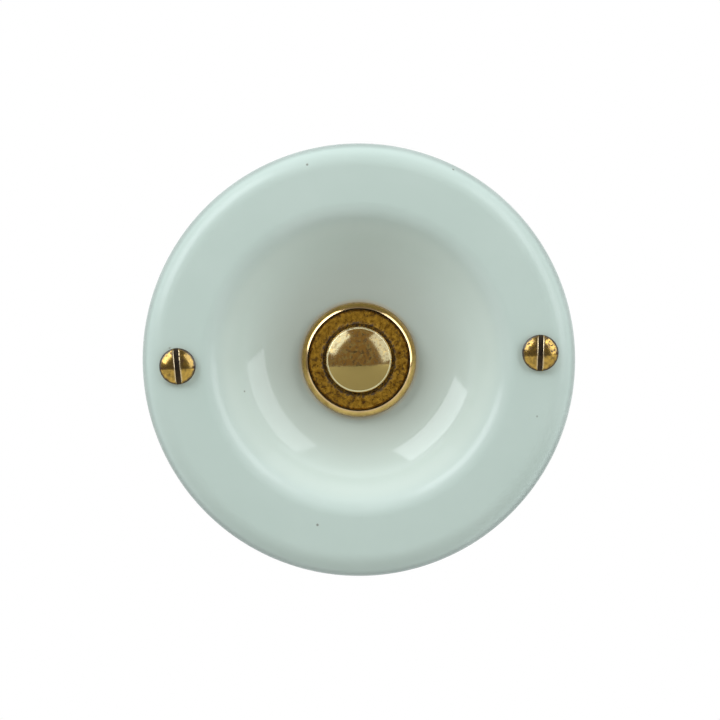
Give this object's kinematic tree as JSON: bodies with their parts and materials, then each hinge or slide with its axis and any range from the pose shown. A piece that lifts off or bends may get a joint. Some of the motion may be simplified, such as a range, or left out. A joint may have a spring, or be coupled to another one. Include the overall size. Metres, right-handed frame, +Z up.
{
  "type": "doorbell push button",
  "caption": "Round dished porcelain bell push with a sprung domed brass button in a brass bezel, screwed flush over a wall box, with its contacts and wire terminals behind.",
  "frame": {"origin": "centre of the plate in the plane of the wall that its skirt rests on, midway between the two plate screws", "axes": "+Y goes into the wall along the button's axis, so the button faces -Y; +Z is up; the plate screws lie along X"},
  "size_m": [0.072, 0.0328, 0.072],
  "materials": {
    "porcelain": "pale grey-green glaze",
    "screw_brass": "polished, a little worn",
    "bezel_brass": "polished, a little worn",
    "bush_brass": "aged, mottled",
    "button_brass": "aged, mottled",
    "contact_brass": "stamped, bright",
    "soft_rubber": "matt black",
    "fibre": "matt red-brown",
    "spring_steel": "drawn wire",
    "moulded_block": "dark brown moulding"
  },
  "bodies": {
    "housing": {"porcelain_plate": "porcelain", "plate_screws": "screw_brass", "bezel_ring": "bezel_brass", "ring_gasket": "soft_rubber", "rear_gasket": "soft_rubber", "threaded_bush": "bush_brass", "return_spring": "spring_steel", "contact_block": "moulded_block", "retaining_ring": "bush_brass", "contact_strip_left": "contact_brass", "contact_strip_right": "contact_brass", "clamp_washers": "contact_brass", "terminal_screws": "contact_brass"},
    "button": {"push_button": "button_brass", "insulating_bush": "fibre", "bridge_disc": "contact_brass", "insulating_washer": "fibre", "stem_clip": "spring_steel"}
  },
  "joints": [
    {"name": "button_press", "type": "slide", "parent": "housing", "child": "button", "axis": [0, 1, 0], "range_m": [0, 0.002], "stiffness_N_per_m": 600, "springref_m": -0.003, "deforming": ["return_spring"]}
  ]
}
